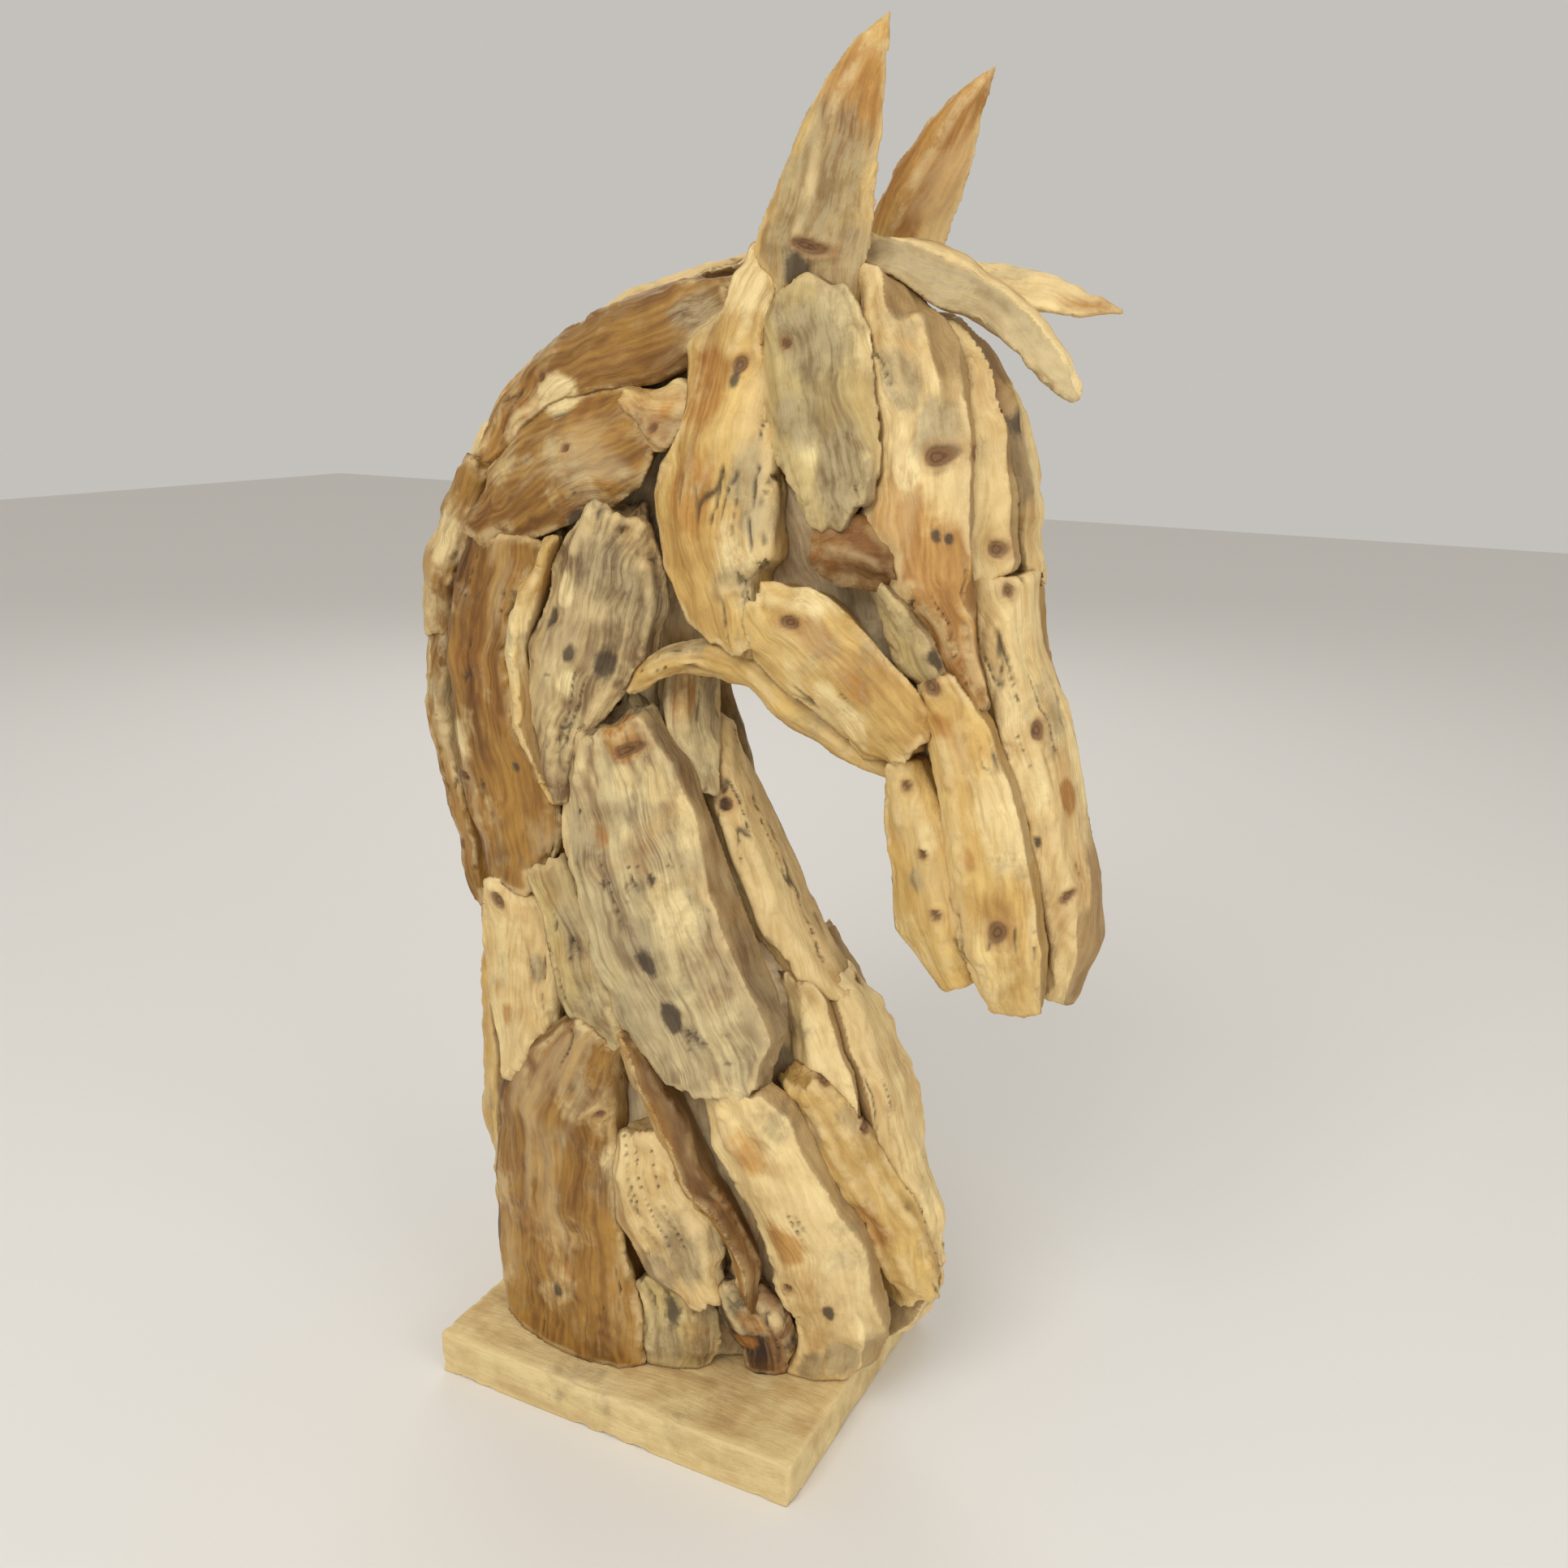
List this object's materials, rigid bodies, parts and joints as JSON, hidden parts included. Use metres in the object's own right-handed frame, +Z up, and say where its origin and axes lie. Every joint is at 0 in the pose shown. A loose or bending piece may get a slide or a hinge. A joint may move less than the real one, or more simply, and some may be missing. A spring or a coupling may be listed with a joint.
{
  "type": "driftwood horse head sculpture",
  "caption": "Horse head and neck pieced together from weathered root wood over grey inner wood, standing on a low sawn plinth.",
  "frame": {"origin": "middle of the plinth's underside", "axes": "+X the way the horse faces, +Y to its left side, +Z up"},
  "size_m": [0.541, 0.25, 1],
  "materials": {
    "sawn_plinth_wood": "plain sawn, unvarnished",
    "grey_inner_wood": "grey, dry and rough",
    "pale_sapwood": "pale, lightly sanded, matt",
    "tan_wood": "sanded, satin",
    "orange_heartwood": "smooth, oiled, satin",
    "grey_weathered_wood": "weathered grey, open grain",
    "barky_root_wood": "striated bark side, matt",
    "burl_wood": "rough burl with holes",
    "dark_root_wood": "dark, rough root with orange streaks"
  },
  "bodies": {
    "root": {"plinth": "sawn_plinth_wood", "head_inner_wood": "grey_inner_wood", "neck_inner_wood": "grey_inner_wood", "temple_slab": "grey_weathered_wood", "eye": "orange_heartwood", "cheek_slab": "tan_wood", "right_ear": "grey_weathered_wood", "left_ear": "orange_heartwood", "forelock_branch": "pale_sapwood", "forelock_point": "pale_sapwood", "jaw_branch": "tan_wood", "jaw_plank": "tan_wood", "face_slab": "pale_sapwood", "muzzle_front": "tan_wood", "muzzle_side": "tan_wood", "nose_plank": "pale_sapwood", "brow_strip": "pale_sapwood", "left_brow_strip": "orange_heartwood", "under_eye_chip": "grey_weathered_wood", "left_temple_slab": "grey_weathered_wood", "left_cheek_slab": "tan_wood", "left_jaw_plank": "tan_wood", "left_face_slab": "orange_heartwood", "left_muzzle_side": "tan_wood", "chin_plank": "grey_weathered_wood", "neck_chip": "tan_wood", "mid_neck_slab": "orange_heartwood", "upper_neck_slab": "orange_heartwood", "crest_strip": "pale_sapwood", "burl": "burl_wood", "burl_rim": "pale_sapwood", "bark_log": "barky_root_wood", "throat_bit": "barky_root_wood", "throat_plank_upper": "pale_sapwood", "throat_plank_lower": "tan_wood", "pale_splinter": "pale_sapwood", "front_branch": "tan_wood", "front_log": "pale_sapwood", "foot_splinter": "pale_sapwood", "slanted_stick": "orange_heartwood", "lower_rear_slab": "orange_heartwood", "pale_oval_slab": "pale_sapwood", "striated_slab": "grey_weathered_wood", "pale_lower_slab": "pale_sapwood", "burnt_root": "dark_root_wood", "bottom_chunk": "grey_weathered_wood", "rear_neck_slab": "orange_heartwood", "nape_strip": "pale_sapwood", "nape_plank": "orange_heartwood", "back_plank_lower": "pale_sapwood", "left_upper_neck_slab": "orange_heartwood", "left_mid_neck_slab": "tan_wood", "left_rear_neck_slab": "orange_heartwood", "left_throat_slab": "grey_weathered_wood", "left_neck_log": "barky_root_wood", "left_front_slab": "tan_wood", "left_lower_slab": "pale_sapwood", "left_lower_rear_slab": "orange_heartwood"}
  },
  "joints": []
}
